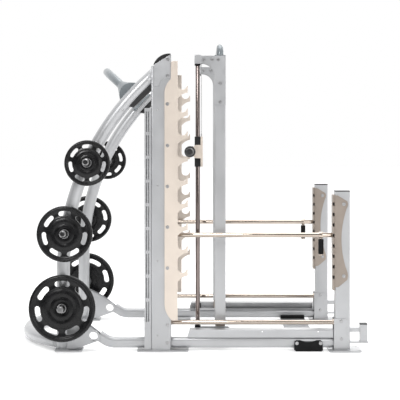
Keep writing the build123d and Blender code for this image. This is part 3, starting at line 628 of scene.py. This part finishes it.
def round_screw(radius, height):
    """Low domed screw head with a socket, standing on Z = 0."""
    dome = [
        (0, 0), (radius, 0), (0.94 * radius, 0.45 * height), (0.7 * radius, 0.8 * height),
        (0.36 * radius, 0.97 * height), (0.3 * radius, 0.45 * height), (0, 0.45 * height),
    ]
    return lathe(dome, 20)


def bolt_group(node, name, body, middle, height):
    """Detailed heads over the plain heads of one CAD node.

    A head further from the centre line than middle faces outwards, and any other faces inwards.
    """
    shape = bmesh.new()
    for low, high in solids(node):
        centre = (low + high) / 2
        side = 1 if centre.y > 0 else -1
        radius = (high.z - low.z) / 2
        screw = radius < SMALLEST_BOLT
        tall = SCREW_HEAD if screw else height
        way = side if abs(centre.y) > middle else -side
        through = not screw and high.y - low.y > LONGEST_HEAD
        if screw:
            bases = [(high.y - tall if way > 0 else low.y + tall, way)]
        elif through:
            bases = [(low.y + tall, -1), (high.y - tall, 1)]
        else:
            bases = [(low.y if way > 0 else high.y, way)]
        for y, facing in bases:
            head = round_screw(radius, tall) if screw else hex_bolt(radius, tall)
            join_into(shape, head, axis_matrix(Vector((centre.x, y, centre.z)), (0, facing, 0)))
        if through:
            reach = bases[1][0] - bases[0][0]
            shank = lathe([(0, 0), (0.004, 0), (0.004, reach), (0, reach)], 16)
            join_into(shape, shank, axis_matrix(Vector((centre.x, bases[0][0], centre.z)), (0, 1, 0)))
    return finish_piece(name, shape, "zinc plating", body, (node,), 28)


class SMITH_OT_bolts(bpy.types.Operator):
    """Puts hexagon bolts and domed screws on the frame and the shuttle"""

    bl_idname = "smith.bolts"
    bl_label = "Bolts"

    def execute(self, context):
        height = context.scene.machine_sizes.bolt_head
        for body, post in (("frame", "column_right"), ("shuttle", "shuttle_post_right")):
            low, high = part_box(post)
            bolt_group(f"{body}_bolts", f"{body}_bolt_heads", body, (low.y + high.y) / 2, height)
        return {"FINISHED"}


# --- bar sleeves --------------------------------------------------------------


class SMITH_OT_bar_sleeves(bpy.types.Operator):
    """Makes the turning bar sleeves with their collars and end caps"""

    bl_idname = "smith.bar_sleeves"
    bl_label = "Bar sleeves"

    def execute(self, context):
        shaft_low, shaft_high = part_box("bar_shaft")
        bore = (shaft_high.z - shaft_low.z) / 2 + SLEEVE_CLEARANCE
        for side, way in SIDES.items():
            node = f"sleeve_{side}"
            low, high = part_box(node)
            collar = (high.x - low.x) / 2
            sleeve = mount_radius(f"bar_{node}")
            total = high.y - low.y
            profile = [
                (bore, 0), (collar - 0.004, 0), (collar - 0.0012, 0.0012), (collar, 0.004),
                (collar, 0.007), (collar - 0.0015, 0.008), (collar - 0.0015, 0.010),
                (collar, 0.011), (collar, 0.014), (collar - 0.0012, 0.0168), (collar - 0.004, 0.018),
                (sleeve + 0.003, 0.018), (sleeve, 0.021),
            ]
            for groove in SLEEVE_GROOVES:
                profile += [
                    (sleeve, groove), (sleeve - 0.0008, groove + 0.0008),
                    (sleeve - 0.0008, groove + 0.003), (sleeve, groove + 0.0038),
                ]
            profile += [
                (sleeve, total - 0.006), (sleeve - 0.002, total - 0.002), (sleeve - 0.005, total),
                (0.014, total), (0.013, total - 0.002), (0.011, total - 0.002),
                (0.010, total - 0.0005), (0, total - 0.0005), (0, total - 0.010), (bore, total - 0.010),
            ]
            shape = lathe(profile, 64, closed=True)
            start = (low + high) / 2
            start.y = low.y if way > 0 else high.y
            shape.transform(axis_matrix(start, (0, way, 0)))
            finish_piece(f"bar_end_{side}", shape, "black coat", node, (node,), 40)
        return {"FINISHED"}


# --- safety grips -------------------------------------------------------------


class SMITH_OT_safety_grips(bpy.types.Operator):
    """Makes the ribbed drop grips under the safety rods"""

    bl_idname = "smith.safety_grips"
    bl_label = "Safety grips"

    def execute(self, context):
        for side in SIDES:
            node = f"safety_grip_{side}"
            low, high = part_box(node)
            radius = (high.x - low.x) / 2
            tall = high.z - low.z
            valley = radius - 0.0014
            profile = [
                (GRIP_STEM, 0), (radius - 0.006, 0), (radius - 0.002, 0.0015), (radius, 0.006),
            ]
            step = (tall - 0.016) / GRIP_RIBS
            for n in range(GRIP_RIBS):
                z = 0.008 + n * step
                profile += [
                    (radius, z), (valley, z + 0.22 * step),
                    (valley, z + 0.5 * step), (radius, z + 0.72 * step),
                ]
            profile += [
                (radius, tall - 0.006), (radius - 0.002, tall - 0.0015),
                (radius - 0.006, tall), (GRIP_STEM, tall),
            ]
            shape = lathe(profile, 48, closed=True)
            foot = (low + high) / 2
            foot.z = low.z
            shape.transform(Matrix.Translation(foot))
            name, rod = f"drop_grip_{side}", f"safety_rod_{side}"
            finish_piece(name, shape, "pad rubber", rod, (node,), 40)
        return {"FINISHED"}


# --- lift cables --------------------------------------------------------------


def upright_run(x, y, start, end, parts=24):
    """Evenly spaced points on an upright line, from one height to another."""
    return [Vector((x, y, start + (end - start) * n / parts)) for n in range(parts + 1)]


class SMITH_OT_lift_cables(bpy.types.Operator):
    """Runs a lift cable on each side from the carriage over two pulleys to the counterweight"""

    bl_idname = "smith.lift_cables"
    bl_label = "Lift cables"

    def execute(self, context):
        radius = context.scene.machine_sizes.cable
        joints = {joint["name"]: joint for joint in frame["joints"]}
        front = Vector(joints["front_pulley_spin"]["pos_m"])
        rear = Vector(joints["rear_pulley_spin"]["pos_m"])
        carriage_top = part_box("carriage_plates")[1].z
        weight_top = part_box("counterweights")[1].z
        for side in SIDES:
            low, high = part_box(f"shuttle_post_{side}")
            y = (low.y + high.y) / 2
            drop = upright_run(front.x - PULLEY_GROOVE, y, carriage_top, front.z)
            piece = finish_piece(f"cable_drop_{side}", tube_along(drop, radius), "zinc plating")
            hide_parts("lift_cables")
            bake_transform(piece)
            turns = [pi * n / 16 for n in range(9)]
            arc = [(PULLEY_GROOVE * cos(turn), PULLEY_GROOVE * sin(turn)) for turn in turns]
            over = [Vector((front.x - long, y, front.z + short)) for long, short in arc]
            over += [Vector((rear.x + short, y, rear.z + long)) for long, short in arc]
            shape = tube_along(over, radius)
            finish_piece(f"cable_over_{side}", shape, "zinc plating", "shuttle")
            hang = upright_run(rear.x + PULLEY_GROOVE, y, rear.z, weight_top)
            piece = finish_piece(f"cable_hang_{side}", tube_along(hang, radius), "zinc plating")
            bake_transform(piece)
            ferrule = lathe([(0, 0), (0.004, 0), (0.004, 0.012), (0.0032, 0.02), (radius, 0.022)], 20)
            ferrule.transform(Matrix.Translation(drop[0]))
            finish_piece(f"cable_ferrule_{side}", ferrule, "zinc plating", "bar")
        return {"FINISHED"}


# --- slot shade inserts: painted shade in the slots ---------------------------


class SMITH_OT_level_inserts(bpy.types.Operator):
    """Fits black pieces in the side slots of the adjustment plates, as painted shade deep in the slots"""

    bl_idname = "smith.level_inserts"
    bl_label = "Level inserts"

    def execute(self, context):
        pitch = context.scene.machine_sizes.level_pitch
        profile = [
            (0.0095, 0.0005), (0.0095, 0.011), (0.0, 0.011), (0.0, 0.0095),
            (0.0072, 0.0095), (0.0072, 0.0005),
        ]
        squeeze = Matrix.Diagonal((0.5, 1.15, 1, 1))
        for side in SIDES:
            low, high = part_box(f"slot_plate_{side}")
            level_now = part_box(f"safety_rod_{side}")[1].z - ROD_COLLAR
            shape = bmesh.new()
            for n in range(LEVELS_ABOVE, -LEVELS_BELOW - 1, -1):
                z = level_now + pitch * n
                for face, turn in ((low.y + SLOT_DEPTH, 1), (high.y - SLOT_DEPTH, -1)):
                    place = axis_matrix(Vector((low.x + SLOT_INSET, face, z)), (0, turn, 0))
                    join_into(shape, lathe(profile, 20), place @ squeeze)
            # The black pieces are painted shade inside the slots.
            finish_piece(f"slot_shade_inserts_{side}", shape, "black nylon", "frame", (), 40)
        return {"FINISHED"}


# --- welds --------------------------------------------------------------------


def circle_loop(centre, radius, count=72):
    """Points round a level circle."""
    turns = [tau * n / count for n in range(count)]
    return [centre + Vector((cos(turn), sin(turn), 0)) * radius for turn in turns]


def box_loop(low, high, z, corner, per_side=26):
    """Points round a rounded rectangle at a height."""
    centre_x, centre_y = (low.x + high.x) / 2, (low.y + high.y) / 2
    half_x, half_y = (high.x - low.x) / 2 - corner, (high.y - low.y) / 2 - corner
    corners = ((1, 1), (-1, 1), (-1, -1), (1, -1))

    def on_corner(quarter, angle):
        side_x, side_y = corners[quarter % 4]
        x = centre_x + side_x * half_x + corner * cos(angle)
        return Vector((x, centre_y + side_y * half_y + corner * sin(angle), z))

    points = []
    for quarter in range(4):
        points += [on_corner(quarter, pi / 2 * (quarter + n / 4)) for n in range(5)]
        start, end = points[-1], on_corner(quarter + 1, pi / 2 * (quarter + 1))
        points += [start.lerp(end, n / per_side) for n in range(1, per_side)]
    return points


def add_bead(shape, points, radius):
    """Adds a closed, rippled weld bead."""
    join_into(shape, tube_along(points, radius, 8, 0.16, True), Matrix())


class SMITH_OT_welds(bpy.types.Operator):
    """Lays weld beads where tubes meet their foot plates"""

    bl_idname = "smith.welds"
    bl_label = "Welds"

    def execute(self, context):
        bead = context.scene.machine_sizes.weld
        floor_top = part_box("foot_plates")[1].z
        shape = bmesh.new()
        for side in SIDES:
            for node, corner in (("column", 0.009), ("front_post", 0.008)):
                low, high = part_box(f"{node}_{side}")
                add_bead(shape, box_loop(low, high, floor_top, corner), bead)
            low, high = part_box(f"storage_tube_{side}")
            tube = (high.y - low.y) / 2
            centre = Vector((low.x + tube, (low.y + high.y) / 2, floor_top))
            add_bead(shape, circle_loop(centre, tube), bead)
        finish_piece("foot_welds", shape, "silver coat", "frame", (), 60)
        return {"FINISHED"}


# --- stage --------------------------------------------------------------------


CAMERA_PLACE = (0.09, -7.522, 1.386)
CAMERA_LENS = 91.1
CAMERA_SHIFT = (-0.005, -0.1325)

# Name, place, aim, size and power of each lamp.
LAMPS = (
    ("key_light", (-2.6, -5.4, 4.6), (0, 0, 1.1), 1.6, 165),
    ("front_light", (3.8, -5.6, 2.4), (0.1, 0, 0.9), 2.2, 55),
    ("top_light", (0.2, 0.4, 5.2), (0, 0, 0.8), 3.6, 100),
    ("back_light", (2.0, 5.0, 3.4), (0, 0, 1.0), 3.0, 60),
)


class SMITH_OT_stage(bpy.types.Operator):
    """Sets out the pale floor, soft lights and the camera"""

    bl_idname = "smith.stage"
    bl_label = "Stage"

    def execute(self, context):
        scene = context.scene
        self.floor()
        self.world(scene)
        for lamp in LAMPS:
            self.lamp(*lamp)
        view = bpy.data.cameras.new("studio_camera")
        view.lens = CAMERA_LENS
        view.sensor_width = 36
        view.shift_x, view.shift_y = CAMERA_SHIFT
        view.clip_end = 200
        camera = bpy.data.objects.new("studio_camera", view)
        scene.collection.objects.link(camera)
        camera.location = CAMERA_PLACE
        camera.rotation_euler = (pi / 2, 0, 0)
        scene.camera = camera
        scene.view_settings.view_transform = "Standard"
        return {"FINISHED"}

    def floor(self):
        """A wide pale floor that glows a little, just under the feet."""
        shape = bmesh.new()
        bmesh.ops.create_grid(shape, x_segments=2, y_segments=2, size=60)
        plane = as_object("studio_floor", shape)
        plane.location.z = -0.0005
        glow = {"Emission_Color": (1, 1, 1, 1), "Emission_Strength": 0.22}
        made, shader = material("pale floor", (0.93,) * 3, 0.0, 0.7, Specular_IOR_Level=0.2, **glow)
        vary_colour(made, shader, noise(made, 0.7), (0.92,) * 3, (0.95,) * 3)
        plane.data.materials.append(made)

    def world(self, scene):
        """A white backdrop, with softer reflections that are bright behind and dark in front."""
        world = bpy.data.worlds.new("studio")
        scene.world = world
        world.use_nodes = True
        nodes, links = world.node_tree.nodes, world.node_tree.links
        background = nodes["Background"]
        place = nodes.new("ShaderNodeTexCoord")
        toward = nodes.new("ShaderNodeVectorMath")
        toward.operation = "DOT_PRODUCT"
        toward.inputs[1].default_value = Vector((0.5, 0.75, 0.45)).normalized()
        links.new(place.outputs["Generated"], toward.inputs[0])
        height = ranged(world, toward.outputs["Value"], 0, 1, -1, 1)
        tones = two_tones(world, height, (0.05, 0.05, 0.052), (1.15, 1.15, 1.15), 0.12, 0.62)
        seen = nodes.new("ShaderNodeLightPath")
        pick = nodes.new("ShaderNodeMix")
        pick.data_type = "RGBA"
        links.new(seen.outputs["Is Camera Ray"], pick.inputs["Factor"])
        links.new(tones, pick.inputs["A"])
        pick.inputs["B"].default_value = (1, 1, 1, 1)
        links.new(pick.outputs["Result"], background.inputs["Color"])
        background.inputs["Strength"].default_value = 1.0

    def lamp(self, name, place, aim, size, power):
        """A square area lamp aimed at a point."""
        light = bpy.data.lights.new(name, "AREA")
        light.size = size
        light.energy = power
        lamp = bpy.data.objects.new(name, light)
        bpy.context.scene.collection.objects.link(lamp)
        lamp.location = place
        lamp.rotation_euler = (Vector(aim) - Vector(place)).to_track_quat("-Z", "Y").to_euler()


# --- panel and registration ---------------------------------------------------

STEPS = (
    SMITH_OT_stage,
    SMITH_OT_frame_finish,
    SMITH_OT_weight_plates,
    SMITH_OT_bolts,
    SMITH_OT_bar_sleeves,
    SMITH_OT_safety_grips,
    SMITH_OT_lift_cables,
    SMITH_OT_level_inserts,
    SMITH_OT_welds,
)


class SMITH_PT_workshop(bpy.types.Panel):
    """Lists the steps that dress the machine"""

    bl_idname = "SMITH_PT_workshop"
    bl_label = "Smith Machine"
    bl_space_type = "VIEW_3D"
    bl_region_type = "UI"
    bl_category = "Smith Machine"

    def draw(self, context):
        for step in STEPS:
            self.layout.operator(step.bl_idname)
        for group in (context.scene.machine_colours, context.scene.machine_sizes):
            box = self.layout.box()
            for name in group.__annotations__:
                box.prop(group, name)


CLASSES = (MachineColours, MachineSizes, *STEPS, SMITH_PT_workshop)


def register():
    for cls in CLASSES:
        bpy.utils.register_class(cls)
    bpy.types.Scene.machine_colours = PointerProperty(type=MachineColours)
    bpy.types.Scene.machine_sizes = PointerProperty(type=MachineSizes)


def unregister():
    del bpy.types.Scene.machine_sizes
    del bpy.types.Scene.machine_colours
    for cls in reversed(CLASSES):
        bpy.utils.unregister_class(cls)


def main():
    register()
    for step in STEPS:
        group, name = step.bl_idname.split(".")
        getattr(getattr(bpy.ops, group), name)()
    bpy.context.view_layer.update()


if __name__ == "__main__":
    main()
